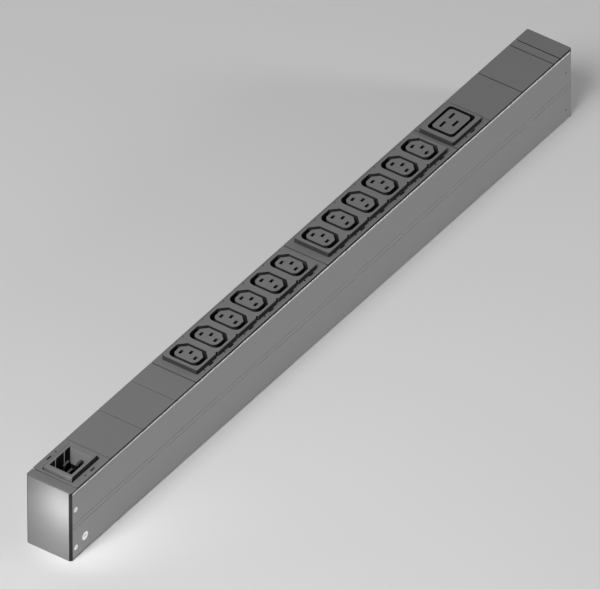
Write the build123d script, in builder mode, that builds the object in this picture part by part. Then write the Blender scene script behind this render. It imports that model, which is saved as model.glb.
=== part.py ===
"""Rack power distribution unit: an extruded trough closed by snap-in modules and two end caps.

X runs along the unit with the inlet end at -X, Z points out of the outlet side, and the
mounting side lies on Z = 0. The origin is the middle of the mounting side. Millimetres.
"""
from build123d import *
import os
from itertools import accumulate

# Cross-section of the unit
unit_width = 44.0
cover_height = 70.0          # outer face of the covers above the mounting side
cover_thickness = 2.3
flange_thickness = 1.0       # the thin rim of a cover that reaches over the trough's walls
flange_round = 0.8
cover_seat_width = 38.4      # the thick middle of a cover, which stands on the trough's lips
seam = 0.5                   # gap between two neighbours in the row
far_cap_seam = 1.0           # the wider gap before the far end's cap
seam_bevel = 0.25
corner_notch = 0.9

# Row of modules, from the inlet end
rack_unit = 44.45
near_cap_length = 9.5
narrow_blank_length = 27.8
outlet_pitch = 27.7
outlet_count = 6
block_lead = 8.1             # flat stretch of a block's cover before its raised body
block_tail = 7.45
large_outlet_length = 45.4
filler_length = 8.9
far_cap_length = 17.7

# Extruded trough
wall = 2.2
floor = 2.2
lip_thickness = 2.6
mouth_width = 33.6           # between the lips that carry the covers
shoulder_round = 2.5
heel_round = 2.0
line_heights = (35.0, 31.0)  # two fine V lines along each side
line_width = 0.8
line_depth = 0.4
slot_mouth = 6.4             # T-slot in the mounting side, for the heads of sliding bolts
slot_width = 11.0
slot_lip = 1.8
slot_depth = 5.2
slot_wall = 1.8

# Snap legs under the covers
leg_thickness = 1.4
leg_gap = 0.4                # leg to lip
leg_length = 6.5
hook_reach = 1.2
hook_height = 1.6
hook_gap = 0.15

# Small outlet, for a plug with three flat 4 x 2 mm pins
block_rise = 4.3
block_width = 35.0
block_round = 2.0
edge_bevel = 0.35
recess_along = 21.1
recess_across = 30.0
recess_bevel = 6.3
recess_round = 6.0
recess_depth = 15.8
boss_along = 16.0
boss_across = 22.6
boss_bevel = 5.0
boss_round = 5.0
pin_spread = 7.0             # line and neutral each side of the middle
pin_back = 1.6               # line and neutral behind the middle
earth_ahead = 2.4
pin_slot = (4.7, 2.5)
contact_room = (5.2, 3.8)
slot_skin = 3.0              # thickness of a boss's face over its contacts
cover_body_gap = 0.2         # body under a cover to the trough's lips
recess_floor = 2.4
notch_round = 1.6            # finger notch in the block's edge between two outlets

# Large outlet, for a plug with three flat 8 x 2 mm pins
large_rise = 3.8
large_body_length = 41.2
large_body_width = 34.4
large_round = 2.5
large_centre = 21.8          # middle of the outlet from the start of its module
large_recess = (34.0, 26.0, 3.6)
large_boss = (27.8, 20.8, 3.4)
large_pin_pitch = 13.0
large_pin_offset = 4.0
large_pin_slot = (8.2, 2.3)
large_contact_room = (9.0, 3.8)

# Inlet, the mate of the large outlet
inlet_rise = 3.2
inlet_centre = 21.4          # middle of the inlet from the start of its module
inlet_frame = (36.0, 28.2)
inlet_frame_round = 1.2
inlet_front_bevel = 0.8
inlet_opening = (28.6, 21.6)
inlet_opening_round = 1.0
inlet_depth = 17.6
inlet_base = 3.6
inlet_gap = 0.8              # shadow gap between the inlet's frame and its cover
inlet_lug = (2.2, 20.0, 1.5)
guide_rib = (0.9, 0.8)
guide_rib_spread = 6.0
blade_width = 8.0
blade_thickness = 2.0
blade_tip = 4.0              # blade tip below the rim
blade_bevel = 1.2
blade_gap = 0.05
tail_width = 6.3
tail_thickness = 0.8
tail_length = 9.0

# Holes for plug-retaining clips, beside every outlet and the inlet
clip_slot = (6.2, 1.3)
clip_slot_ahead = 4.1
clip_hole_behind = 5.2
clip_hole_round = 0.8
block_clip_gap = 0.1         # from the wall of the raised body to the slot's edge
large_clip_gap = 0.4
inlet_clip_gap = 3.5

# Contact carriers and contacts under the outlets
carrier_height = 12.0
strip_height = 6.0
strip_thickness = 0.8
strip_gap = 0.1
strip_floor = 2.0            # carrier below a strip
strip_tail = 6.0
leaf_thickness = 0.5
leaf_opening = 1.8
leaf_height = 13.0
leaf_width = 4.0
large_leaf_width = 7.6
foot_thickness = 0.8
foot_gap = 0.2

# End caps
cap_plate = 2.2
cap_edge_bevel = 2.0
cap_top_round = 1.2
near_cap_drop = 0.8          # the inlet end's cap lies below the covers
near_cap_flange = 0.6
cap_fit = 0.2
tongue_top = 60.0
tongue_wall = 4.0
tongue_skin = 2.0
near_tongue_end = 11.4
far_tongue_end = 16.5
near_screw_inset = 6.7
far_screw_inset = 8.6
cap_screw_heights = (49.3, 10.8)

# Countersunk screws
cap_screw_head = 2.45        # radii
cap_screw_shank = 1.2
cap_screw_length = 6.0
cap_screw_drive = 1.5        # across the flats of the hexagon socket
drive_depth_share = 0.7      # of the head's depth
screw_room = 0.15
thread_fit = 0.05            # threads are left as plain fits
earth_screw_head = 3.9
earth_screw_shank = 1.95
earth_screw_length = 8.5
earth_screw_drive = 2.5
earth_screw_inset = 19.1
earth_screw_height = 14.4
earth_ring_round = 4.0
earth_ring_thickness = 0.8
barrel_round = 1.8
barrel_length = 5.0
barrel_start = 4.8
nut_flats = 7.0
nut_thickness = 3.2

# Insulated wires between the inlet and the outlets, hung below the strips' lower edges
wire_round = 1.7
wire_bend = 7.0
bridge_bend = 4.5            # in the short loops from block to block
bridge_drop = 8.1
first_drop = 16.1            # from the inlet to the first block
first_line_drop = 25.1       # lower, where the line wire crosses below the others
last_drop = 18.1             # from the second block to the large outlet
last_neutral_drop = 25.1
earth_lead_round = 1.4
earth_lead_bend = 4.5
large_tab_length = 3.0

half_width = unit_width / 2
seat_height = cover_height - cover_thickness
lip_height = seat_height - lip_thickness
inner_half = half_width - wall
mouth_half = mouth_width / 2
block_body_length = outlet_count * outlet_pitch
block_length = block_lead + block_body_length + block_tail

module_lengths = {
    "inlet": rack_unit,
    "blank_1": rack_unit,
    "blank_2": rack_unit,
    "narrow_blank": narrow_blank_length,
    "block_1": block_length,
    "block_2": block_length,
    "large_outlet": large_outlet_length,
    "blank_3": rack_unit,
    "blank_4": rack_unit,
    "filler": filler_length,
}
row_length = sum(module_lengths.values())
unit_length = near_cap_length + row_length + far_cap_length
near_end = -unit_length / 2
far_end = unit_length / 2
row_start = near_end + near_cap_length
starts = dict(zip(module_lengths, accumulate(module_lengths.values(), initial=row_start)))
row_end = row_start + row_length


def rectangle_from(low_y, low_z, high_y, high_z, mode=Mode.ADD):
    """A rectangle by its corners, in a sketch across the unit."""
    with Locations(((low_y + high_y) / 2, (low_z + high_z) / 2)):
        Rectangle(high_y - low_y, high_z - low_z, mode=mode)


def cover_profile(x, top=cover_height, flange=flange_thickness):
    """A cover across the unit: thick middle, thin rim, rounded outer edges."""
    with BuildSketch(Plane.YZ.offset(x)) as profile:
        rectangle_from(-half_width, top - flange, half_width, top)
        fillet(profile.vertices().group_by(Axis.Y)[-1], min(flange_round, 0.8 * flange))
        rectangle_from(-cover_seat_width / 2, seat_height, cover_seat_width / 2, top - flange)
    return profile.sketch


def leg_profile(x):
    """Two legs with outward hooks that catch under the trough's lips."""
    outer = mouth_half - leg_gap
    low = seat_height - leg_length
    hook_top = lip_height - hook_gap
    with BuildSketch(Plane.YZ.offset(x)) as profile:
        for side in (-1, 1):
            with BuildLine():
                Polyline(
                    (side * (outer - leg_thickness), seat_height),
                    (side * outer, seat_height),
                    (side * outer, hook_top),
                    (side * (outer + hook_reach), hook_top),
                    (side * outer, hook_top - hook_height),
                    (side * outer, low),
                    (side * (outer - leg_thickness), low),
                    close=True,
                )
            make_face()
    return profile.sketch


def body_profile(x, low):
    """The solid middle under an outlet cover, with the same hooks as the legs."""
    outer = mouth_half - cover_body_gap
    hook_top = lip_height - hook_gap
    with BuildSketch(Plane.YZ.offset(x)) as profile:
        rectangle_from(-outer, low, outer, seat_height)
        for side in (-1, 1):
            with BuildLine():
                Polyline(
                    (side * outer, hook_top),
                    (side * (outer + hook_reach), hook_top),
                    (side * outer, hook_top - hook_height),
                    close=True,
                )
            make_face()
    return profile.sketch


def corner_notches(start, length):
    """Small cut corners where two covers meet, in a sketch on the cover's face."""
    ends = (start, start + length)
    with BuildSketch(Plane.XY.offset(cover_height)) as corners:
        with Locations(*[(x, y) for x in ends for y in (-half_width, half_width)]):
            Rectangle(corner_notch, corner_notch, rotation=45)
    return corners.sketch


def plain_cover(name):
    """A blank cover: plate, rim and two snap legs."""
    start = starts[name] + seam / 2
    length = module_lengths[name] - seam
    with BuildPart() as cover:
        extrude(cover_profile(start), amount=length)
        chamfer(cover.edges().filter_by(Axis.Y).group_by(Axis.Z)[-1], seam_bevel)
        extrude(corner_notches(start, length), amount=-flange_thickness, mode=Mode.SUBTRACT)
        extrude(leg_profile(start), amount=length)
    return cover.part


def clip_holes(centres, body_width, gap):
    """Slots and round holes for plug-retaining clips beside a raised body of that width.

    Those on the other side are turned half a turn about the middle of the outlet.
    """
    row = body_width / 2 + gap + clip_slot[1] / 2
    with BuildSketch(Plane.XY.offset(cover_height)) as holes:
        for centre in centres:
            for side in (-1, 1):
                with Locations((centre - side * clip_slot_ahead, side * row)):
                    SlotOverall(*clip_slot)
                with Locations((centre + side * clip_hole_behind, side * row)):
                    Circle(clip_hole_round)
    return holes.sketch


def small_outline(along, across, bevel, radius):
    """Outline of the small outlet: two bevelled corners at +X and two round ones at -X."""
    with BuildSketch() as outline:
        Rectangle(along, across)
        fillet(outline.vertices().sort_by(Axis.X)[:2], radius)
        chamfer(outline.vertices().sort_by(Axis.X)[-2:], bevel)
    return outline.sketch


def small_pins(size):
    """The three pin places of a small outlet, each of the given length and width."""
    with BuildSketch() as pins:
        with Locations((-pin_back, pin_spread), (-pin_back, -pin_spread), (earth_ahead, 0)):
            Rectangle(*size)
    return pins.sketch


def large_pins(size, turn=1):
    """The three pin places of a large outlet, or with turn = -1 those of the inlet."""
    half_pitch = large_pin_pitch / 2
    offset = turn * large_pin_offset
    with BuildSketch() as pins:
        with Locations((-half_pitch, offset), (half_pitch, offset), (0, -offset)):
            Rectangle(*size)
    return pins.sketch


def at_places(sketch, centres, height):
    """Copies of a sketch at several places along the unit, at one height."""
    with BuildSketch(Plane.XY.offset(height)) as copies:
        with Locations(*[(x, 0) for x in centres]):
            add(sketch)
    return copies.sketch


def block_centres(name):
    """The middles of a block's outlets along the unit."""
    first = starts[name] + block_lead + outlet_pitch / 2
    return [first + i * outlet_pitch for i in range(outlet_count)]


def outlet_block_cover(name):
    """Cover of a block of small outlets: raised body, recesses, bosses and pin slots."""
    start = starts[name] + seam / 2
    length = module_lengths[name] - seam
    body_start = starts[name] + block_lead
    body_middle = body_start + block_body_length / 2
    top = cover_height + block_rise
    low = top - recess_depth - recess_floor
    centres = block_centres(name)
    recess = small_outline(recess_along, recess_across, recess_bevel, recess_round)
    boss = small_outline(boss_along, boss_across, boss_bevel, boss_round)
    notches = [body_start + i * outlet_pitch for i in range(1, outlet_count)]
    with BuildPart() as cover:
        extrude(cover_profile(start), amount=length)
        chamfer(cover.edges().filter_by(Axis.Y).group_by(Axis.Z)[-1], seam_bevel)
        extrude(corner_notches(start, length), amount=-flange_thickness, mode=Mode.SUBTRACT)
        with BuildSketch(Plane.XY.offset(cover_height)) as raised:
            with Locations((body_middle, 0)):
                RectangleRounded(block_body_length, block_width, block_round)
        extrude(amount=block_rise)
        chamfer(cover.faces().sort_by(Axis.Z)[-1].edges(), edge_bevel)
        extrude(body_profile(body_start, low), amount=block_body_length)
        with BuildSketch(Plane.XY.offset(top)) as finger_notches:
            with Locations(*[(x, y) for x in notches for y in (-block_width / 2, block_width / 2)]):
                Circle(notch_round)
        extrude(amount=-block_rise, mode=Mode.SUBTRACT)
        extrude(at_places(recess - boss, centres, top), amount=-recess_depth, mode=Mode.SUBTRACT)
        extrude(at_places(small_pins(pin_slot), centres, top), amount=-slot_skin, mode=Mode.SUBTRACT)
        room = at_places(small_pins(contact_room), centres, low)
        extrude(room, amount=top - slot_skin - low, mode=Mode.SUBTRACT)
        holes = clip_holes(centres, block_width, block_clip_gap)
        extrude(holes, amount=-cover_thickness, mode=Mode.SUBTRACT)
    return cover.part


def large_outlet_cover(name):
    """Cover of the large outlet: raised body, rounded recess and boss, three long slots."""
    start = starts[name] + seam / 2
    length = module_lengths[name] - seam
    centre = starts[name] + large_centre
    top = cover_height + large_rise
    low = top - recess_depth - recess_floor
    body_middle = start + large_body_length / 2
    with BuildPart() as cover:
        extrude(cover_profile(start), amount=length)
        chamfer(cover.edges().filter_by(Axis.Y).group_by(Axis.Z)[-1], seam_bevel)
        extrude(corner_notches(start, length), amount=-flange_thickness, mode=Mode.SUBTRACT)
        with BuildSketch(Plane.XY.offset(cover_height - seam_bevel)) as raised:
            with Locations((body_middle, 0)):
                RectangleRounded(large_body_length, large_body_width, large_round)
        extrude(amount=large_rise + seam_bevel)
        chamfer(cover.faces().sort_by(Axis.Z)[-1].edges(), edge_bevel)
        extrude(body_profile(start, low), amount=large_body_length)
        with BuildSketch(Plane.XY.offset(top)) as channel:
            with Locations((centre, 0)):
                RectangleRounded(*large_recess)
                RectangleRounded(*large_boss, mode=Mode.SUBTRACT)
        extrude(amount=-recess_depth, mode=Mode.SUBTRACT)
        slots = at_places(large_pins(large_pin_slot), [centre], top)
        extrude(slots, amount=-slot_skin, mode=Mode.SUBTRACT)
        room = at_places(large_pins(large_contact_room), [centre], low)
        extrude(room, amount=top - slot_skin - low, mode=Mode.SUBTRACT)
        holes = clip_holes([centre], large_body_width, large_clip_gap)
        extrude(holes, amount=-cover_thickness, mode=Mode.SUBTRACT)
    return cover.part


def carrier(first, last, low, places):
    """Tray under an outlet cover, grooved for its contact strips.

    places holds one (start, end, y, foot_width) for each strip.
    """
    top = low + carrier_height
    outer = mouth_half - cover_body_gap
    strip_low = low + strip_floor
    foot_low = strip_low + strip_height
    with BuildPart() as tray:
        with BuildSketch(Plane.XY.offset(low)) as base:
            with Locations(((first + last) / 2, 0)):
                Rectangle(last - first, 2 * outer)
        extrude(amount=carrier_height)
        for start, end, y, foot_width in places:
            middle = (start + end) / 2
            with BuildSketch(Plane.XY.offset(top)) as groove:
                with Locations((middle, y)):
                    Rectangle(end - start, strip_thickness + 2 * strip_gap)
            extrude(amount=strip_low - top, mode=Mode.SUBTRACT)
            with BuildSketch(Plane.XY.offset(top)) as trench:
                with Locations((middle, y)):
                    Rectangle(end - start, foot_width + 2 * foot_gap)
            extrude(amount=foot_low - top, mode=Mode.SUBTRACT)
    return tray.part


foot_width = leaf_opening + 2 * leaf_thickness


def contact_strip(start, end, y, low, centres, width):
    """A strip on edge with a foot and two spring leaves at each pin place."""
    foot_low = low + strip_floor + strip_height
    leaf_offset = (leaf_opening + leaf_thickness) / 2
    with BuildPart() as strip:
        with BuildSketch(Plane.XY.offset(low + strip_floor)) as web:
            with Locations(((start + end) / 2, y)):
                Rectangle(end - start, strip_thickness)
        extrude(amount=strip_height)
        with BuildSketch(Plane.XY.offset(foot_low)) as feet:
            with Locations(*[(x, y) for x in centres]):
                Rectangle(width, foot_width)
        extrude(amount=foot_thickness)
        with BuildSketch(Plane.XY.offset(foot_low + foot_thickness)) as leaves:
            with Locations(*[(x, y + s * leaf_offset) for x in centres for s in (-1, 1)]):
                Rectangle(width, leaf_thickness)
        extrude(amount=leaf_height)
    return strip.part


def side_plane(x, height, side):
    """A plane on the outer face of a side wall, facing outwards."""
    return Plane(origin=(x, side * half_width, height), x_dir=(1, 0, 0), z_dir=(0, side, 0))


def countersunk_screw(plane, head, shank, length, drive):
    """A flat-head screw sunk flush with the plane, with a hexagon socket."""
    cone = head - shank
    with BuildPart() as screw:
        with BuildSketch(plane) as face:
            Circle(head)
        extrude(amount=-cone, taper=45)
        with BuildSketch(plane.offset(-cone)) as stem:
            Circle(shank)
        extrude(amount=cone - length)
        with BuildSketch(plane) as socket:
            RegularPolygon(drive / 2, 6, major_radius=False)
        extrude(amount=-drive_depth_share * cone, mode=Mode.SUBTRACT)
    return screw.part


def wire(points, radius, bends):
    """An insulated wire along straight runs joined by round bends."""
    with BuildPart() as tube:
        with BuildLine() as route:
            FilletPolyline(*points, radius=bends)
        with BuildSketch(Plane(origin=points[0], z_dir=Vector(*points[1]) - Vector(*points[0]))):
            Circle(radius)
        sweep()
    return tube.part


def write(part, name):
    """Label a finished piece and write it as its own STEP file."""
    part.label = name
    export_step(part, f"parts/{name}.step")


os.makedirs("parts", exist_ok=True)

# Trough: one aluminium extrusion, open towards the covers
trough_start = near_end + cap_plate
trough_end = far_end - cap_plate
screw_places = {"inlet": near_end + near_screw_inset, "far": far_end - far_screw_inset}
with BuildPart() as housing:
    with BuildSketch(Plane.YZ.offset(trough_start)) as section:
        rectangle_from(-half_width, 0, half_width, seat_height)
        fillet(section.vertices().group_by(Axis.Y)[-1], shoulder_round)
        fillet(section.vertices().group_by(Axis.Y)[0], heel_round)
        rectangle_from(-inner_half, floor, inner_half, lip_height, Mode.SUBTRACT)
        rectangle_from(-mouth_half, lip_height, mouth_half, seat_height, Mode.SUBTRACT)
        rib_half = slot_width / 2 + slot_wall
        rectangle_from(-rib_half, 0, rib_half, slot_depth + slot_wall)
        rectangle_from(-slot_width / 2, slot_lip, slot_width / 2, slot_depth, Mode.SUBTRACT)
        rectangle_from(-slot_mouth / 2, 0, slot_mouth / 2, slot_lip, Mode.SUBTRACT)
        for height in line_heights:
            for side in (-1, 1):
                with BuildLine():
                    Polyline(
                        (side * half_width, height + line_width / 2),
                        (side * (half_width - line_depth), height),
                        (side * half_width, height - line_width / 2),
                        close=True,
                    )
                make_face(mode=Mode.SUBTRACT)
    extrude(amount=trough_end - trough_start)
    for x in screw_places.values():
        for height in cap_screw_heights:
            for side in (-1, 1):
                with Locations(side_plane(x, height, side)):
                    CounterSinkHole(cap_screw_shank + screw_room, cap_screw_head, depth=wall)
    with Locations(side_plane(near_end + earth_screw_inset, earth_screw_height, -1)):
        CounterSinkHole(earth_screw_shank + screw_room, earth_screw_head, depth=wall)
write(housing.part, "housing")


def end_cap(face, inward, tab_end, top, flange, tongue_end, screw_x):
    """An end cap: end plate, tab over the trough's mouth and a hollow tongue inside it.

    face is the outer end's place along X, and inward is 1 or -1, the way into the unit.
    """
    tab_start = face + inward * cap_plate
    tongue_half = inner_half - cap_fit
    tongue_low = slot_depth + slot_wall + cap_fit
    outermost = 0 if inward > 0 else -1
    with BuildPart() as cap:
        with BuildSketch(Plane.YZ.offset(face)) as plate:
            rectangle_from(-half_width, 0, half_width, top)
        extrude(amount=inward * cap_plate)
        sides = cap.faces().sort_by(Axis.X)[outermost].edges().filter_by(Axis.Z)
        chamfer(sides, cap_edge_bevel)
        brow = cap.faces().sort_by(Axis.X)[outermost].edges().filter_by(Axis.Y)
        fillet(brow.sort_by(Axis.Z)[-1], cap_top_round)
        extrude(cover_profile(tab_start, top, flange), amount=tab_end - tab_start)
        with BuildSketch(Plane.YZ.offset(tab_start)) as tongue:
            rectangle_from(-tongue_half, tongue_low, tongue_half, tongue_top)
            rectangle_from(
                tongue_wall - tongue_half,
                tongue_low + tongue_skin,
                tongue_half - tongue_wall,
                tongue_top - tongue_skin,
                Mode.SUBTRACT,
            )
        extrude(amount=tongue_end - tab_start)
        for height in cap_screw_heights:
            for side in (-1, 1):
                with Locations(side_plane(screw_x, height, side)):
                    Hole(cap_screw_shank + thread_fit, depth=wall + cap_fit + tongue_wall)
    return cap.part


inlet_cap = end_cap(
    near_end,
    1,
    row_start - seam / 2,
    cover_height - near_cap_drop,
    near_cap_flange,
    near_end + near_tongue_end,
    screw_places["inlet"],
)
write(inlet_cap, "inlet_end_cap")
far_cap = end_cap(
    far_end,
    -1,
    row_end - seam / 2 + far_cap_seam,
    cover_height,
    flange_thickness,
    far_end - far_tongue_end,
    screw_places["far"],
)
write(far_cap, "far_end_cap")

for end, x in screw_places.items():
    with BuildPart() as screws:
        for height in cap_screw_heights:
            for side in (-1, 1):
                add(
                    countersunk_screw(
                        side_plane(x, height, side),
                        cap_screw_head,
                        cap_screw_shank,
                        cap_screw_length,
                        cap_screw_drive,
                    )
                )
    write(screws.part, f"{end}_cap_screws")

# Earth connection: screw through the side wall, ring terminal and nut inside
earth_x = near_end + earth_screw_inset
earth_plane = side_plane(earth_x, earth_screw_height, -1)
write(
    countersunk_screw(
        earth_plane, earth_screw_head, earth_screw_shank, earth_screw_length, earth_screw_drive
    ),
    "earth_screw",
)
ring_face = earth_plane.offset(-wall)
barrel_y = -inner_half + barrel_round
barrel_low = earth_screw_height + barrel_start
with BuildPart() as ring_terminal:
    with BuildSketch(ring_face) as ring:
        Circle(earth_ring_round)
        with Locations((0, barrel_start)):
            Rectangle(2 * barrel_round, 2 * barrel_start)
        Circle(earth_screw_shank + screw_room, mode=Mode.SUBTRACT)
    extrude(amount=-earth_ring_thickness)
    with BuildSketch(Plane.XY.offset(barrel_low)) as barrel:
        with Locations((earth_x, barrel_y)):
            Circle(barrel_round)
    extrude(amount=barrel_length)
write(ring_terminal.part, "earth_ring_terminal")
with BuildPart() as earth_nut:
    with BuildSketch(ring_face.offset(-earth_ring_thickness)) as hexagon:
        RegularPolygon(nut_flats / 2, 6, major_radius=False)
        Circle(earth_screw_shank + thread_fit, mode=Mode.SUBTRACT)
    extrude(amount=-nut_thickness)
write(earth_nut.part, "earth_nut")

# Inlet: cover with a cut-out, moulded socket and three blades
inlet_x = starts["inlet"] + inlet_centre
inlet_top = cover_height + inlet_rise
inlet_floor = inlet_top - inlet_depth
inlet_low = inlet_floor - inlet_base
frame_along, frame_across = inlet_frame
with BuildPart() as inlet_cover:
    start = starts["inlet"] + seam / 2
    length = module_lengths["inlet"] - seam
    extrude(cover_profile(start), amount=length)
    chamfer(inlet_cover.edges().filter_by(Axis.Y).group_by(Axis.Z)[-1], seam_bevel)
    extrude(corner_notches(start, length), amount=-flange_thickness, mode=Mode.SUBTRACT)
    extrude(leg_profile(start), amount=length)
    with BuildSketch(Plane.XY.offset(cover_height)) as cut_out:
        with Locations((inlet_x, 0)):
            Rectangle(frame_along + 2 * inlet_gap, frame_across + 2 * inlet_gap)
    extrude(amount=-cover_thickness, mode=Mode.SUBTRACT)
    holes = clip_holes([inlet_x], frame_across, inlet_clip_gap)
    extrude(holes, amount=-cover_thickness, mode=Mode.SUBTRACT)
write(inlet_cover.part, "inlet_cover")

with BuildPart() as inlet_socket:
    with BuildSketch(Plane.XY.offset(inlet_low)) as outer:
        with Locations((inlet_x, 0)):
            RectangleRounded(frame_along, frame_across, inlet_frame_round)
    extrude(amount=inlet_top - inlet_low)
    chamfer(inlet_socket.faces().sort_by(Axis.Z)[-1].edges(), inlet_front_bevel)
    lug_reach, lug_across, lug_thickness = inlet_lug
    with BuildSketch(Plane.XY.offset(seat_height)) as lugs:
        with Locations((inlet_x, 0)):
            Rectangle(frame_along + 2 * lug_reach, lug_across)
    extrude(amount=-lug_thickness)
    with BuildSketch(Plane.XY.offset(inlet_top)) as opening:
        with Locations((inlet_x, 0)):
            RectangleRounded(*inlet_opening, inlet_opening_round)
            with Locations(
                (-guide_rib_spread, inlet_opening[1] / 2), (guide_rib_spread, inlet_opening[1] / 2)
            ):
                Rectangle(guide_rib[0], 2 * guide_rib[1], mode=Mode.SUBTRACT)
    extrude(amount=-inlet_depth, mode=Mode.SUBTRACT)
    blade_slot = (blade_width + 2 * blade_gap, blade_thickness + 2 * blade_gap)
    slots = at_places(large_pins(blade_slot, -1), [inlet_x], inlet_floor)
    extrude(slots, amount=-inlet_base, mode=Mode.SUBTRACT)
write(inlet_socket.part, "inlet_socket")

tail_low = inlet_low - tail_length
blade_places = {
    "line": (inlet_x - large_pin_pitch / 2, -large_pin_offset),
    "neutral": (inlet_x + large_pin_pitch / 2, -large_pin_offset),
    "earth": (inlet_x, large_pin_offset),
}
for name, (x, y) in blade_places.items():
    with BuildPart() as blade:
        with BuildSketch(Plane.XZ.offset(-y - blade_thickness / 2)) as face:
            rectangle_from(x - blade_width / 2, inlet_low, x + blade_width / 2, inlet_top - blade_tip)
            chamfer(face.vertices().group_by(Axis.Y)[-1], blade_bevel)
        extrude(amount=blade_thickness)
        with BuildSketch(Plane.XZ.offset(-y - tail_thickness / 2)) as tab:
            rectangle_from(x - tail_width / 2, tail_low, x + tail_width / 2, inlet_low)
        extrude(amount=tail_thickness)
    write(blade.part, f"inlet_{name}_pin")

# Plain covers
for name in ("blank_1", "blank_2", "narrow_blank", "blank_3", "blank_4", "filler"):
    write(plain_cover(name), f"{name}_cover")

# Blocks of small outlets, each a cover, a contact carrier and three contact strips
small_low = cover_height + block_rise - recess_depth - recess_floor - carrier_height
strip_rows = {
    "line": (pin_spread, -pin_back),
    "neutral": (-pin_spread, -pin_back),
    "earth": (0, earth_ahead),
}
for block in ("block_1", "block_2"):
    body_start = starts[block] + block_lead
    body_end = body_start + block_body_length
    write(outlet_block_cover(block), f"outlet_{block}_cover")
    places = [(body_start, body_end, y, foot_width) for y, _ in strip_rows.values()]
    write(carrier(body_start, body_end, small_low, places), f"outlet_{block}_carrier")
    for name, (y, ahead) in strip_rows.items():
        pins = [x + ahead for x in block_centres(block)]
        strip = contact_strip(
            body_start - strip_tail, body_end + strip_tail, y, small_low, pins, leaf_width
        )
        write(strip, f"{block}_{name}_strip")

# Large outlet: cover, contact carrier and three contacts with tabs through the carrier
large_x = starts["large_outlet"] + large_centre
large_start = starts["large_outlet"] + seam / 2
large_end = large_start + large_body_length
large_low = cover_height + large_rise - recess_depth - recess_floor - carrier_height
large_contacts = {
    "line": (large_x - large_pin_pitch / 2, large_pin_offset),
    "neutral": (large_x + large_pin_pitch / 2, large_pin_offset),
    "earth": (large_x, -large_pin_offset),
}
write(large_outlet_cover("large_outlet"), "large_outlet_cover")
contact_half = large_leaf_width / 2
places = [
    (x - contact_half - foot_gap, x + contact_half + foot_gap, y, foot_width)
    for x, y in large_contacts.values()
]
with BuildPart() as large_carrier:
    add(carrier(large_start, large_end, large_low, places))
    with BuildSketch(Plane.XY.offset(large_low)) as tab_slots:
        with Locations(*large_contacts.values()):
            Rectangle(tail_width + 2 * strip_gap, strip_thickness + 2 * strip_gap)
    extrude(amount=strip_floor, mode=Mode.SUBTRACT)
write(large_carrier.part, "large_outlet_carrier")
for name, (x, y) in large_contacts.items():
    with BuildPart() as contact:
        add(
            contact_strip(
                x - contact_half, x + contact_half, y, large_low, [x], large_leaf_width
            )
        )
        with BuildSketch(Plane.XY.offset(large_low + strip_floor)) as tab:
            with Locations((x, y)):
                Rectangle(tail_width, strip_thickness)
        extrude(amount=-strip_floor - large_tab_length)
    write(contact.part, f"large_outlet_{name}_contact")

# Wires: each leaves its terminal downwards, runs along the trough and rises to the next
small_strip_low = small_low + strip_floor
large_tab_low = large_low - large_tab_length


def block_tail_place(block, name, side):
    """Middle of a strip's tail under its lower edge, at the block's -X or +X end."""
    y = strip_rows[name][0]
    end = starts[block] + block_lead + (block_body_length if side > 0 else 0)
    return (end + side * strip_tail / 2, y, small_strip_low)


for name in ("line", "neutral", "earth"):
    blade_x, blade_y = blade_places[name]
    contact_x, contact_y = large_contacts[name]
    first_hop_drop = first_line_drop if name == "line" else first_drop
    last_hop_drop = last_neutral_drop if name == "neutral" else last_drop
    hops = [
        (
            (blade_x, blade_y, tail_low),
            block_tail_place("block_1", name, -1),
            first_hop_drop,
            wire_bend,
        ),
        (
            block_tail_place("block_1", name, 1),
            block_tail_place("block_2", name, -1),
            bridge_drop,
            bridge_bend,
        ),
        (
            block_tail_place("block_2", name, 1),
            (contact_x, contact_y, large_tab_low),
            last_hop_drop,
            wire_bend,
        ),
    ]
    with BuildPart() as wires:
        for start, end, drop, bend in hops:
            run = small_strip_low - drop
            route = [start, (start[0], start[1], run), (end[0], end[1], run), end]
            add(wire(route, wire_round, bend))
    write(wires.part, f"{name}_wires")

lead_start = (earth_x, barrel_y, barrel_low + barrel_length)
lead_height = inlet_low - tail_length / 2
earth_pin_x, earth_pin_y = blade_places["earth"]
lead_route = [
    lead_start,
    (earth_x, barrel_y, lead_height),
    (earth_x, earth_pin_y, lead_height),
    (earth_pin_x - tail_width / 2, earth_pin_y, lead_height),
]
write(wire(lead_route, earth_lead_round, earth_lead_bend), "earth_lead")
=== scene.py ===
import math

import bpy
import numpy as np
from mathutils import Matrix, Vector


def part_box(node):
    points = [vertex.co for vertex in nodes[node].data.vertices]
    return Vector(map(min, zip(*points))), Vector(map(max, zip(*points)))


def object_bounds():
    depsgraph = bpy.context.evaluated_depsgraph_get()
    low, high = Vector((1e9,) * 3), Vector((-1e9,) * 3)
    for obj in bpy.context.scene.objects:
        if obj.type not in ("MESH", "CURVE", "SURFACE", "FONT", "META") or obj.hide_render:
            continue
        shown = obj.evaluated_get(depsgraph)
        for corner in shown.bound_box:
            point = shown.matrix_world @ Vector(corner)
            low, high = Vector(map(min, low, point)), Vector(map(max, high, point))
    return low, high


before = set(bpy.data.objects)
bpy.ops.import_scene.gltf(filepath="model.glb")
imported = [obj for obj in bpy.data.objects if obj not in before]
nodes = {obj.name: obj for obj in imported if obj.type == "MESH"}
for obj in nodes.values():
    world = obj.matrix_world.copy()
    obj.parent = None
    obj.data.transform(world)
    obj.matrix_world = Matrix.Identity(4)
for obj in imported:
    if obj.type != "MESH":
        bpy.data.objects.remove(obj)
cadLow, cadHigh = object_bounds()
print("frame loaded:", len(nodes), "nodes")


def addNode(tree, kind, **settings):
    node = tree.nodes.new(kind)
    for name, value in settings.items():
        setattr(node, name, value)
    return node


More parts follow.
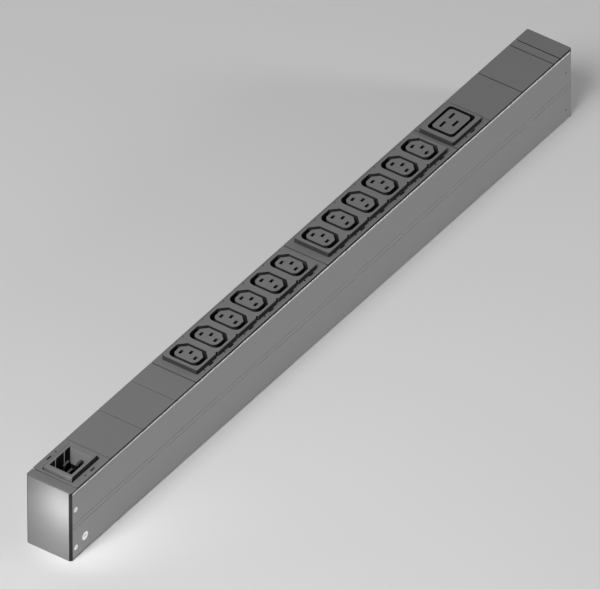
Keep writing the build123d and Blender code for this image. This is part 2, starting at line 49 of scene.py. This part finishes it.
def join(tree, *pairs):
    for source, target in pairs:
        tree.links.new(source, target)


def mathNode(tree, operation, first, second=None, clamp=False):
    node = addNode(tree, "ShaderNodeMath", operation=operation, use_clamp=clamp)
    for place, value in enumerate((first, second)):
        if value is None:
            continue
        if isinstance(value, (int, float)):
            node.inputs[place].default_value = value
        else:
            tree.links.new(value, node.inputs[place])
    return node.outputs[0]


def newGroup(name, inputs, outputs):
    # a shader group with the given sockets: inputs are (name, kind, default), outputs (name, kind)
    group = bpy.data.node_groups.new(name, "ShaderNodeTree")
    for label, kind, default in inputs:
        socket = group.interface.new_socket(label, in_out="INPUT", socket_type=kind)
        if default is not None:
            socket.default_value = default
    for label, kind in outputs:
        group.interface.new_socket(label, in_out="OUTPUT", socket_type=kind)
    return group, addNode(group, "NodeGroupInput"), addNode(group, "NodeGroupOutput")


def mouldedGrainGroup():
    # eroded texture of a moulded face: height = 0.7 fine noise + 0.3 cells, and a slow cloud for tone
    group, entry, leave = newGroup(
        "mouldedGrain",
        [
            ("Vector", "NodeSocketVector", None),
            ("Grain Scale", "NodeSocketFloat", 2600.0),
            ("Cloud Scale", "NodeSocketFloat", 28.0),
        ],
        [("Height", "NodeSocketFloat"), ("Cloud", "NodeSocketFloat")],
    )
    fine = addNode(group, "ShaderNodeTexNoise")
    fine.inputs["Detail"].default_value = 3.0
    cells = addNode(group, "ShaderNodeTexVoronoi", feature="SMOOTH_F1")
    cloud = addNode(group, "ShaderNodeTexNoise")
    cloud.inputs["Detail"].default_value = 4.0
    cloud.inputs["Roughness"].default_value = 0.6
    for texture, scale in ((fine, "Grain Scale"), (cells, "Grain Scale"), (cloud, "Cloud Scale")):
        join(
            group,
            (entry.outputs["Vector"], texture.inputs["Vector"]),
            (entry.outputs[scale], texture.inputs["Scale"]),
        )
    fineShare = mathNode(group, "MULTIPLY", fine.outputs["Fac"], 0.7)
    cellShare = mathNode(group, "MULTIPLY", cells.outputs["Distance"], 0.3)
    join(
        group,
        (mathNode(group, "ADD", fineShare, cellShare), leave.inputs["Height"]),
        (cloud.outputs["Fac"], leave.inputs["Cloud"]),
    )
    return group


def drawnLinesGroup():
    # lines that a die leaves along X: noise squeezed 400 times across X, plus a slow cloud
    group, entry, leave = newGroup(
        "drawnLines",
        [
            ("Vector", "NodeSocketVector", None),
            ("Line Scale", "NodeSocketFloat", 1500.0),
            ("Cloud Scale", "NodeSocketFloat", 9.0),
        ],
        [("Lines", "NodeSocketFloat"), ("Cloud", "NodeSocketFloat")],
    )
    squeeze = addNode(group, "ShaderNodeMapping", vector_type="POINT")
    squeeze.inputs["Scale"].default_value = (0.0025, 1.0, 1.0)
    lines = addNode(group, "ShaderNodeTexNoise")
    lines.inputs["Detail"].default_value = 5.0
    lines.inputs["Roughness"].default_value = 0.65
    cloud = addNode(group, "ShaderNodeTexNoise")
    cloud.inputs["Detail"].default_value = 3.0
    join(
        group,
        (entry.outputs["Vector"], squeeze.inputs["Vector"]),
        (squeeze.outputs["Vector"], lines.inputs["Vector"]),
        (entry.outputs["Line Scale"], lines.inputs["Scale"]),
        (entry.outputs["Vector"], cloud.inputs["Vector"]),
        (entry.outputs["Cloud Scale"], cloud.inputs["Scale"]),
        (lines.outputs["Fac"], leave.inputs["Lines"]),
        (cloud.outputs["Fac"], leave.inputs["Cloud"]),
    )
    return group


def edgeWearAndHighlightGroup():
    # how far the rounded normal leans from the flat one marks an edge; noise breaks the mark up. The
    # mark paints edges paler: painted highlight, and also wear
    group, entry, leave = newGroup(
        "edgeWearAndHighlight",
        [
            ("Vector", "NodeSocketVector", None),
            ("Rounded Normal", "NodeSocketVector", None),
            ("Breakup Scale", "NodeSocketFloat", 300.0),
            ("Gain", "NodeSocketFloat", 6.0),
        ],
        [("Mask", "NodeSocketFloat")],
    )
    flat = addNode(group, "ShaderNodeNewGeometry")
    lean = addNode(group, "ShaderNodeVectorMath", operation="DOT_PRODUCT")
    breakup = addNode(group, "ShaderNodeTexNoise")
    breakup.inputs["Detail"].default_value = 3.0
    join(
        group,
        (entry.outputs["Rounded Normal"], lean.inputs[0]),
        (flat.outputs["Normal"], lean.inputs[1]),
        (entry.outputs["Vector"], breakup.inputs["Vector"]),
        (entry.outputs["Breakup Scale"], breakup.inputs["Scale"]),
    )
    edge = mathNode(group, "SUBTRACT", 1.0, lean.outputs["Value"])
    gained = mathNode(group, "MULTIPLY", edge, entry.outputs["Gain"], clamp=True)
    broken = mathNode(group, "MULTIPLY", gained, breakup.outputs["Fac"], clamp=True)
    join(group, (broken, leave.inputs["Mask"]))
    return group


def insideBoxGroup():
    # 1 inside a box about Centre with half sides Half, 0 outside, with a ramp Soft wide
    group, entry, leave = newGroup(
        "insideBox",
        [
            ("Vector", "NodeSocketVector", None),
            ("Centre", "NodeSocketVector", None),
            ("Half", "NodeSocketVector", None),
            ("Soft", "NodeSocketFloat", 0.0001),
        ],
        [("Mask", "NodeSocketFloat")],
    )
    offset = addNode(group, "ShaderNodeVectorMath", operation="SUBTRACT")
    size = addNode(group, "ShaderNodeVectorMath", operation="ABSOLUTE")
    room = addNode(group, "ShaderNodeVectorMath", operation="SUBTRACT")
    parts = addNode(group, "ShaderNodeSeparateXYZ")
    join(
        group,
        (entry.outputs["Vector"], offset.inputs[0]),
        (entry.outputs["Centre"], offset.inputs[1]),
        (offset.outputs["Vector"], size.inputs[0]),
        (entry.outputs["Half"], room.inputs[0]),
        (size.outputs["Vector"], room.inputs[1]),
        (room.outputs["Vector"], parts.inputs["Vector"]),
    )
    nearest = mathNode(group, "MINIMUM", parts.outputs["X"], parts.outputs["Y"])
    nearest = mathNode(group, "MINIMUM", nearest, parts.outputs["Z"])
    ramp = mathNode(group, "DIVIDE", nearest, entry.outputs["Soft"], clamp=True)
    join(group, (ramp, leave.inputs["Mask"]))
    return group


def facingGroup():
    # masks of the faces that look along Y, X and Z, and of those halfway between Y and Z,
    # from the object's own normal
    group, entry, leave = newGroup(
        "facing",
        [("Vector", "NodeSocketVector", None)],
        [
            ("Sides", "NodeSocketFloat"),
            ("Ends", "NodeSocketFloat"),
            ("Tops", "NodeSocketFloat"),
            ("Shoulder", "NodeSocketFloat"),
        ],
    )
    size = addNode(group, "ShaderNodeVectorMath", operation="ABSOLUTE")
    parts = addNode(group, "ShaderNodeSeparateXYZ")
    join(
        group,
        (entry.outputs["Vector"], size.inputs[0]),
        (size.outputs["Vector"], parts.inputs["Vector"]),
    )
    halfway = mathNode(group, "MULTIPLY", parts.outputs["Y"], parts.outputs["Z"])
    for value, label, start, full in (
        (parts.outputs["Y"], "Sides", 0.4, 0.7),
        (parts.outputs["X"], "Ends", 0.4, 0.7),
        (parts.outputs["Z"], "Tops", 0.4, 0.7),
        (halfway, "Shoulder", 0.30, 0.46),
    ):
        ramp = addNode(group, "ShaderNodeMapRange", interpolation_type="SMOOTHSTEP")
        ramp.inputs["From Min"].default_value = start
        ramp.inputs["From Max"].default_value = full
        join(group, (value, ramp.inputs["Value"]), (ramp.outputs["Result"], leave.inputs[label]))
    return group


groups = {
    "grain": mouldedGrainGroup(),
    "drawn": drawnLinesGroup(),
    "wearAndHighlight": edgeWearAndHighlightGroup(),
    "box": insideBoxGroup(),
    "facing": facingGroup(),
}


def placeGroup(tree, name, vector, **values):
    node = addNode(tree, "ShaderNodeGroup", node_tree=groups[name])
    tree.links.new(vector, node.inputs["Vector"])
    for label, value in values.items():
        node.inputs[label].default_value = value
    return node


def mixColours(tree, factor, first, second):
    # first where factor is 0, second where it is 1; each is a socket or a colour
    node = addNode(tree, "ShaderNodeMix", data_type="RGBA")
    places = (node.inputs[0], node.inputs[6], node.inputs[7])
    for place, value in zip(places, (factor, first, second)):
        if isinstance(value, bpy.types.NodeSocket):
            tree.links.new(value, place)
        elif isinstance(value, tuple):
            place.default_value = (*value, 1.0)
        else:
            place.default_value = value
    return node.outputs[2]


def spread(tree, value, low, high):
    # carries 0.25..0.75, where noise mostly lies, to low..high
    node = addNode(tree, "ShaderNodeMapRange")
    node.inputs["From Min"].default_value = 0.25
    node.inputs["From Max"].default_value = 0.75
    node.inputs["To Min"].default_value = low
    node.inputs["To Max"].default_value = high
    tree.links.new(value, node.inputs["Value"])
    return node.outputs["Result"]


def startMaterial(name):
    material = bpy.data.materials.new(name)
    material.use_nodes = True
    tree = material.node_tree
    shader = tree.nodes["Principled BSDF"]
    place = addNode(tree, "ShaderNodeTexCoord").outputs["Object"]
    return material, tree, shader, place


def shadeOf(colour, factor):
    return tuple(min(1.0, c * factor) for c in colour)


def twistedStripe(tree, place, colour, look):
    # a second colour that winds round a wire, in slanted bands
    bands = addNode(tree, "ShaderNodeTexWave", bands_direction="DIAGONAL")
    bands.inputs["Scale"].default_value = look["stripeScale"]
    tree.links.new(place, bands.inputs["Vector"])
    mask = mathNode(tree, "GREATER_THAN", bands.outputs["Fac"], 0.5)
    return mixColours(tree, mask, colour, look["stripe"])


def wornAndHighlitColour(tree, place, look, tone):
    # the look's colour, a little darker or paler with tone, and paler still on the edges as painted
    # highlight and also wear;
    # also the normal that rounds those edges
    bevel = addNode(tree, "ShaderNodeBevel", samples=4)
    bevel.inputs["Radius"].default_value = look["edgeRadius"]
    wearAndHighlight = placeGroup(tree, "wearAndHighlight", place)
    tree.links.new(bevel.outputs["Normal"], wearAndHighlight.inputs["Rounded Normal"])
    darker = shadeOf(look["colour"], 1 - look["toneChange"])
    paler = shadeOf(look["colour"], 1 + look["toneChange"])
    colour = mixColours(tree, spread(tree, tone, 0.0, 1.0), darker, paler)
    # painted highlight and wear: the edges go paler by this share
    wornAndHighlitShare = mathNode(tree, "MULTIPLY", wearAndHighlight.outputs["Mask"], look["wearAndHighlight"])
    colour = mixColours(tree, wornAndHighlitShare, colour, shadeOf(look["colour"], look["wornAndHighlitGain"]))
    return colour, bevel.outputs["Normal"]


def faceMasks(tree):
    # the masks of the ways that the faces look
    ownNormal = addNode(tree, "ShaderNodeTexCoord").outputs["Normal"]
    return placeGroup(tree, "facing", ownNormal).outputs


def shadeFaces(tree, faces, look, colour, labels):
    # painted shade: darkens the faces of each label by the look's share for it
    for label in labels:
        share = mathNode(tree, "MULTIPLY", faces[label], look["shade" + label])
        colour = mixColours(tree, share, colour, look["paintedShadeColour"])
    return colour


def cloudyRoughness(tree, look, cloud):
    low = look["roughness"] - look["roughChange"]
    return spread(tree, cloud, low, look["roughness"] + look["roughChange"])


def finishSurface(tree, shader, look, colour, rough, height, rounded):
    bump = addNode(tree, "ShaderNodeBump")
    bump.inputs["Strength"].default_value = look["grainStrength"]
    bump.inputs["Distance"].default_value = look["grainDepth"]
    join(
        tree,
        (colour, shader.inputs["Base Color"]),
        (rough, shader.inputs["Roughness"]),
        (height, bump.inputs["Height"]),
        (rounded, bump.inputs["Normal"]),
        (bump.outputs["Normal"], shader.inputs["Normal"]),
    )


def plasticMaterial(name, look, darkBoxes=()):
    # moulded plastic: fine grain, a slow change of tone, paler edges as painted highlight and also
    # wear, walls with painted shade, and hollows with painted shade whose end walls stay a little
    # paler, as painted light
    material, tree, shader, place = startMaterial(name)
    faces = faceMasks(tree)
    grain = placeGroup(tree, "grain", place, **{"Grain Scale": look["grainScale"]})
    colour, rounded = wornAndHighlitColour(tree, place, look, grain.outputs["Cloud"])
    if "stripe" in look:
        colour = twistedStripe(tree, place, colour, look)
    colour = shadeFaces(tree, faces, look, colour, ("Sides", "Ends", "Tops"))
    rough = cloudyRoughness(tree, look, grain.outputs["Cloud"])
    dullWalls = mathNode(tree, "MULTIPLY", faces["Sides"], look["wallRoughness"])
    rough = mathNode(tree, "MAXIMUM", rough, dullWalls)
    # painted shade inside each box, with the end walls given their own painted tone
    for centre, half in darkBoxes:
        hollow = placeGroup(tree, "box", place, Centre=centre, Half=half).outputs["Mask"]
        inner = mixColours(tree, faces["Ends"], look["paintedShadeColour"], look["hollowEndPaintedTone"])
        colour = mixColours(tree, hollow, colour, inner)
        rough = mathNode(tree, "MAXIMUM", rough, hollow)
    finishSurface(tree, shader, look, colour, rough, grain.outputs["Height"], rounded)
    shader.inputs["Specular IOR Level"].default_value = look["specular"]
    return material


def metalMaterial(name, look, drawn=False, darkBoxes=()):
    # bare or plated metal, with lines along the unit where it was drawn through a die, a painted
    # highlight along the shoulder, and faces with painted shade
    material, tree, shader, place = startMaterial(name)
    faces = faceMasks(tree)
    if drawn:
        marks = placeGroup(tree, "drawn", place)
        height = marks.outputs["Lines"]
    else:
        marks = placeGroup(tree, "grain", place, **{"Grain Scale": look["grainScale"]})
        height = marks.outputs["Height"]
    colour, rounded = wornAndHighlitColour(tree, place, look, height)
    if drawn:
        # painted highlight along the trough's rounded shoulder, where it faces halfway between up and
        # the side
        top = placeGroup(tree, "box", place, Centre=look["shoulderHighlightPlace"], Half=look["shoulderHighlightHalf"])
        shoulderHighlight = mathNode(tree, "MULTIPLY", faces["Shoulder"], top.outputs["Mask"])
        colour = mixColours(tree, shoulderHighlight, colour, shadeOf(look["colour"], look["shoulderHighlightGain"]))
    colour = shadeFaces(tree, faces, look, colour, ("Sides", "Tops"))
    for centre, half, shadeColour in darkBoxes:
        hollow = placeGroup(tree, "box", place, Centre=centre, Half=half)
        colour = mixColours(tree, hollow.outputs["Mask"], colour, shadeColour)
    rough = cloudyRoughness(tree, look, marks.outputs["Cloud"])
    finishSurface(tree, shader, look, colour, rough, height, rounded)
    shader.inputs["Metallic"].default_value = look["metallic"]
    return material


def dress(material, *names):
    for name in names:
        slots = nodes[name].data.materials
        slots.clear()
        slots.append(material)


# Trough: matt anodised extrusion
trough = {
    "colour": (0.27, 0.27, 0.27),
    "toneChange": 0.03,
    "roughness": 0.46,
    "roughChange": 0.03,
    "metallic": 0.35,
    "grainStrength": 0.35,
    "grainDepth": 0.00002,
    "edgeRadius": 0.0003,
    "wearAndHighlight": 0.4,
    "wornAndHighlitGain": 1.5,
    # painted highlight on the shoulder: how much paler, and where
    "shoulderHighlightGain": 1.55,
    "shoulderHighlightPlace": (0.0, 0.0, 0.0663),
    "shoulderHighlightHalf": (0.4, 0.03, 0.0009),
    "shadeSides": 0.0,
    "shadeTops": 0.0,
    "paintedShadeColour": (0.03, 0.03, 0.03),
    # painted shade on the trough's top and lips under the covers' edges
    "seatShadeColour": (0.008, 0.008, 0.008),
    "seatHalf": 0.02125,        # the covers' shade on the trough's lips reaches this far out
    "seatTop": 0.0690,
    "seatDepth": 0.0040,
    "lineShadeColour": (0.12, 0.12, 0.12),
    "lineHeights": (0.0350, 0.0310),
    "lineHalf": 0.00045,
    "lineSkin": 0.00005,        # the wall's own face stays clear of the lines' shade
}
halfLength = cadHigh.x
seatMiddle = trough["seatTop"] - trough["seatDepth"] / 2
seatHalf = (halfLength, trough["seatHalf"], trough["seatDepth"] / 2)
troughShades = [((0.0, 0.0, seatMiddle), seatHalf, trough["seatShadeColour"])]
for height in trough["lineHeights"]:
    # painted shade in the fine V lines along both sides: all that lies at their height inside the
    # wall's face
    lineHalf = (halfLength, cadHigh.y - trough["lineSkin"], trough["lineHalf"])
    troughShades.append(((0.0, 0.0, height), lineHalf, trough["lineShadeColour"]))
dress(metalMaterial("anodisedExtrusion", trough, True, troughShades), "housing")
print("trough finished")

# Covers, blocks and sockets: moulded grey plastic, with painted shade down in the outlets
plastic = {
    "colour": (0.155, 0.155, 0.156),
    "toneChange": 0.04,
    "roughness": 0.5,
    "roughChange": 0.04,
    "specular": 0.45,
    "grainScale": 2600.0,
    "grainStrength": 0.25,
    "grainDepth": 0.00003,
    "edgeRadius": 0.00025,
    "wearAndHighlight": 0.35,
    "wornAndHighlitGain": 2.2,
    "shadeSides": 0.82,         # painted shade: how far the walls along the unit go towards paintedShadeColour
    "shadeEnds": 0.0,           # the same for the walls across it
    "shadeTops": 0.0,           # the same for faces that look up or down
    "wallRoughness": 0.8,       # least roughness of the walls along the unit
    # the colour of painted shade on walls and in hollows
    "paintedShadeColour": (0.006, 0.006, 0.006),
    # painted tone of the end walls inside the hollows: painted shade, with painted light where light
    # falls in from the ends
    "hollowEndPaintedTone": (0.045, 0.045, 0.045),
}
farCovers = ["blank_4_cover", "filler_cover"]
plainCovers = [n for n in nodes if n.endswith("_cover") and "outlet" not in n and n not in farCovers]
dress(plasticMaterial("mouldedCover", plastic), *plainCovers)
# painted shade on the far covers' end walls, in the seams
dress(plasticMaterial("mouldedFarCover", dict(plastic, shadeEnds=0.8)), *farCovers)

outlets = {
    "smallRecess": 0.0300,      # across the unit
    "largeRecess": (0.0340, 0.0260),
    "largeCentre": 0.02155,     # from the start of the large outlet's cover
    "shadeStart": 0.0005,       # the painted shade begins this far below the rim
    "edgeRoom": 0.0003,
    "endRoom": 0.011,           # from a block's end to its first recess
    "smallRise": 0.0043,        # raised body above the cover's flat face
    "largeRise": 0.0038,
    "faceSkin": 0.0003,         # the painted shade stays this far inside the cover's faces
    "underHalf": 0.0205,        # and reaches this far out across the unit
}


def hollowBox(centreX, halfX, halfY, top):
    # the room of painted shade: below top - shadeStart, down to the mounting side
    ceiling = top - outlets["shadeStart"]
    return (centreX, 0.0, ceiling / 2), (halfX, halfY, ceiling / 2)


def underBox(low, high, rise):
    # painted shade on everything of an outlet cover that lies below its flat face: the walls of the
    # clip holes
    ceiling = high.z - rise - outlets["faceSkin"]
    half = (high.x - low.x) / 2 - outlets["faceSkin"], outlets["underHalf"], ceiling / 2
    return ((low.x + high.x) / 2, 0.0, ceiling / 2), half


# the outlets and the inlet are moulded matt, in a slightly paler grey
matt = dict(plastic, colour=(0.187, 0.187, 0.188), specular=0.12)
# painted shade on the blocks' walls along and across the unit
blockLook = dict(matt, shadeEnds=0.6, shadeSides=0.95)
for name in ("outlet_block_1_cover", "outlet_block_2_cover"):
    low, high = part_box(name)
    box = hollowBox(
        (low.x + high.x) / 2,
        (high.x - low.x) / 2 - outlets["endRoom"],
        outlets["smallRecess"] / 2 + outlets["edgeRoom"],
        high.z,
    )
    under = underBox(low, high, outlets["smallRise"])
    dress(plasticMaterial("moulded_" + name, blockLook, [box, under]), name)

low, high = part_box("large_outlet_cover")
along, across = outlets["largeRecess"]
box = hollowBox(
    low.x + outlets["largeCentre"],
    along / 2 + outlets["edgeRoom"],
    across / 2 + outlets["edgeRoom"],
    high.z,
)
under = underBox(low, high, outlets["largeRise"])
# the large outlet's hollow end walls in deeper painted shade
largeLook = dict(blockLook, hollowEndPaintedTone=(0.012, 0.012, 0.012))
dress(plasticMaterial("mouldedLargeOutlet", largeLook, [box, under]), "large_outlet_cover")

inlet = {
    "opening": (0.0286, 0.0216),    # along and across the unit
    "depth": 0.0176,
    "shadeStart": 0.0004,
    "edgeRoom": 0.0003,
}
low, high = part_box("inlet_socket")
along, across = inlet["opening"]
cavity = (
    ((low.x + high.x) / 2, 0.0, high.z - inlet["shadeStart"] - inlet["depth"] / 2),
    (along / 2 + inlet["edgeRoom"], across / 2 + inlet["edgeRoom"], inlet["depth"] / 2),
)
# painted shade on the socket's walls along the unit; its cavity's end walls get painted light
socketLook = dict(matt, shadeSides=0.96, hollowEndPaintedTone=(0.42, 0.42, 0.42))
dress(plasticMaterial("mouldedSocket", socketLook, [cavity]), "inlet_socket")
print("plastic covers finished")

# End caps: satin paint, with painted shade on their sides and tops
caps = dict(
    plastic, colour=(0.25, 0.25, 0.25), roughness=0.38, grainStrength=0.12,
    shadeSides=0.985, shadeTops=0.43,
)
low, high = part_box("far_end_cap")
capSeam = {
    "before": 0.001,            # the painted shade starts this far before the cap's inner face
    "after": 0.0002,            # and ends this far past it
    "skin": 0.0003,
}
# painted shade on the far cap's wall inside the seam
seamWall = (
    (low.x + (capSeam["after"] - capSeam["before"]) / 2, 0.0, (high.z - capSeam["skin"]) / 2),
    ((capSeam["after"] + capSeam["before"]) / 2, high.y, (high.z - capSeam["skin"]) / 2),
)
darkSeam = dict(caps, hollowEndPaintedTone=caps["paintedShadeColour"])
dress(plasticMaterial("capPaint", caps), "inlet_end_cap")
dress(plasticMaterial("farCapPaint", darkSeam, [seamWall]), "far_end_cap")

# Screws, blades and contacts
zinc = {
    # near-white: bright zinc with a painted highlight on it
    "colour": (0.97, 0.97, 0.97),
    "toneChange": 0.02,
    "roughness": 0.35,
    "roughChange": 0.05,
    "metallic": 0.15,
    "grainScale": 1800.0,
    "grainStrength": 0.1,
    "grainDepth": 0.00001,
    "edgeRadius": 0.00015,
    "wearAndHighlight": 0.2,
    "wornAndHighlitGain": 1.5,
    "shadeSides": 0.0,
    "shadeTops": 0.0,
    "paintedShadeColour": (0.02, 0.02, 0.02),
}
# the far cap's screws: the same zinc, rougher and darker, the dark being painted shade
zincInShade = dict(zinc, colour=(0.26, 0.26, 0.26), roughness=0.45)
nickel = dict(zinc, colour=(0.66, 0.65, 0.62), roughness=0.22, metallic=1.0)
brass = dict(nickel, colour=(0.72, 0.52, 0.22), roughness=0.32)
tin = dict(nickel, colour=(0.70, 0.70, 0.69), roughness=0.4)
# the screws, nut and earth screw at the inlet end carry the painted highlight
dress(metalMaterial("zincWithPaintedHighlight", zinc), "inlet_cap_screws", "earth_screw", "earth_nut")
dress(metalMaterial("zincWithPaintedShade", zincInShade), "far_cap_screws")
# painted shade on the blades' sides and tips
blades = dict(nickel, shadeSides=0.93, shadeTops=0.92)
dress(metalMaterial("nickelPlate", blades), *[n for n in nodes if n.endswith("_pin")])
contacts = [n for n in nodes if n.endswith("_strip") or n.endswith("_contact")]
dress(metalMaterial("bareBrass", brass), *contacts)
dress(metalMaterial("tinnedCopper", tin), "earth_ring_terminal")
print("metal parts finished")

# Inside: carriers and wires
natural = dict(plastic, colour=(0.58, 0.56, 0.50), roughness=0.45, wearAndHighlight=0.1, shadeSides=0.0)
dress(plasticMaterial("naturalPlastic", natural), *[n for n in nodes if n.endswith("_carrier")])
insulation = dict(
    plastic, grainStrength=0.05, wearAndHighlight=0.0, roughness=0.35, shadeSides=0.0, wallRoughness=0.0,
)
earthColours = {"colour": (0.10, 0.34, 0.05), "stripe": (0.80, 0.62, 0.03), "stripeScale": 60.0}
for name, colours in (
    ("line_wires", {"colour": (0.16, 0.07, 0.03)}),
    ("neutral_wires", {"colour": (0.03, 0.10, 0.40)}),
    ("earth_wires", earthColours),
    ("earth_lead", earthColours),
):
    dress(plasticMaterial("insulation_" + name, {**insulation, **colours}), name)
print("inner parts finished")

# Floor: a pale flat sheet, large enough that its edge lies far out of view
floorLook = {
    "colour": (0.80, 0.80, 0.80),
    "toneChange": 0.01,
    "cloudScale": 3.0,
    "radius": 12.0,
    "drop": 0.0002,             # below the mounting side
    "roughness": 0.65,
    "cells": 48,
}


def floorSheet():
    # a square grid, flat at z = -drop: x and y run from -radius to radius
    side = floorLook["cells"] + 1
    line = np.linspace(-floorLook["radius"], floorLook["radius"], side)
    x, y = np.meshgrid(line, line, indexing="ij")
    points = np.stack([x, y, np.full_like(x, -floorLook["drop"])], -1).reshape(-1, 3)
    corner = (np.arange(side - 1)[:, None] * side + np.arange(side - 1)[None, :]).ravel()
    faces = np.stack([corner, corner + side, corner + side + 1, corner + 1], 1)
    mesh = bpy.data.meshes.new("floor")
    mesh.from_pydata(points.tolist(), [], faces.tolist())
    sheet = bpy.data.objects.new("floor", mesh)
    bpy.context.scene.collection.objects.link(sheet)
    return sheet


floor = floorSheet()
material, tree, shader, place = startMaterial("paleFloor")
cloud = addNode(tree, "ShaderNodeTexNoise")
cloud.inputs["Scale"].default_value = floorLook["cloudScale"]
join(tree, (place, cloud.inputs["Vector"]))
paleTone = spread(tree, cloud.outputs["Fac"], 0.0, 1.0)
greyer = shadeOf(floorLook["colour"], 1 - floorLook["toneChange"])
tint = mixColours(tree, paleTone, greyer, floorLook["colour"])
tree.links.new(tint, shader.inputs["Base Color"])
shader.inputs["Roughness"].default_value = floorLook["roughness"]
floor.data.materials.append(material)

# Light: a large soft box above the inlet end, a narrow one far off beside the far end, a
# small one close to the inlet end's face, and a dim world
lights = {
    "top": {
        "place": (-1.10, -0.10, 1.50), "aim": (-0.05, 0.0, 0.05),
        "size": 1.0, "power": 20.3, "spread": 180,
    },
    "far": {
        "place": (1.70, -2.70, 0.75), "aim": (0.30, 0.0, 0.035),
        "size": 0.8, "power": 2.5, "spread": 50,
    },
    "end": {
        "place": (-0.396, -0.014, 0.070), "aim": (-0.347, -0.0147, 0.0446),
        "size": 0.02, "power": 0.0106, "spread": 76,
    },
}
worldLook = {
    "light": 0.22,              # strength that lights the object
    "seen": 0.80,               # strength that the camera, gloss and glass see
}


def aimed(thing, place, aim):
    thing.location = place
    direction = Vector(aim) - Vector(place)
    thing.rotation_euler = direction.to_track_quat("-Z", "Y").to_euler()


for name, setup in lights.items():
    lamp = bpy.data.lights.new(name + "Light", "AREA")
    lamp.shape = "DISK"
    lamp.size = setup["size"]
    lamp.energy = setup["power"]
    lamp.spread = math.radians(setup["spread"])
    holder = bpy.data.objects.new(name + "Light", lamp)
    holder.visible_camera = False
    bpy.context.scene.collection.objects.link(holder)
    aimed(holder, setup["place"], setup["aim"])

world = bpy.data.worlds.new("studio")
bpy.context.scene.world = world
world.use_nodes = True
tree = world.node_tree
background = tree.nodes["Background"]
background.inputs["Color"].default_value = (1.0, 1.0, 1.0, 1.0)
rays = addNode(tree, "ShaderNodeLightPath")
seen = mathNode(tree, "MAXIMUM", rays.outputs["Is Camera Ray"], rays.outputs["Is Glossy Ray"])
seen = mathNode(tree, "MAXIMUM", seen, rays.outputs["Is Transmission Ray"])
extra = mathNode(tree, "MULTIPLY", seen, worldLook["seen"] - worldLook["light"])
strength = mathNode(tree, "ADD", extra, worldLook["light"])
tree.links.new(strength, background.inputs["Strength"])
print("floor and lights ready")

# Camera: the photograph is almost a parallel view, so the lens is very long
view = {
    "azimuth": -54.765,         # 0 looks along +Y
    "elevation": 38.96,
    "distance": 19.995,
    "lens": 1500.0,
    "target": (-0.00315, -0.00048, 0.035),
    "clip": (1.0, 60.0),
}
azimuth, elevation = math.radians(view["azimuth"]), math.radians(view["elevation"])
back = Vector((
    math.sin(azimuth) * math.cos(elevation),
    -math.cos(azimuth) * math.cos(elevation),
    math.sin(elevation),
))
lensData = bpy.data.cameras.new("camera")
lensData.lens = view["lens"]
lensData.clip_start, lensData.clip_end = view["clip"]
camera = bpy.data.objects.new("camera", lensData)
bpy.context.scene.collection.objects.link(camera)
aimed(camera, Vector(view["target"]) + back * view["distance"], view["target"])
bpy.context.scene.camera = camera
bpy.context.scene.view_settings.view_transform = "Standard"

print("camera set")
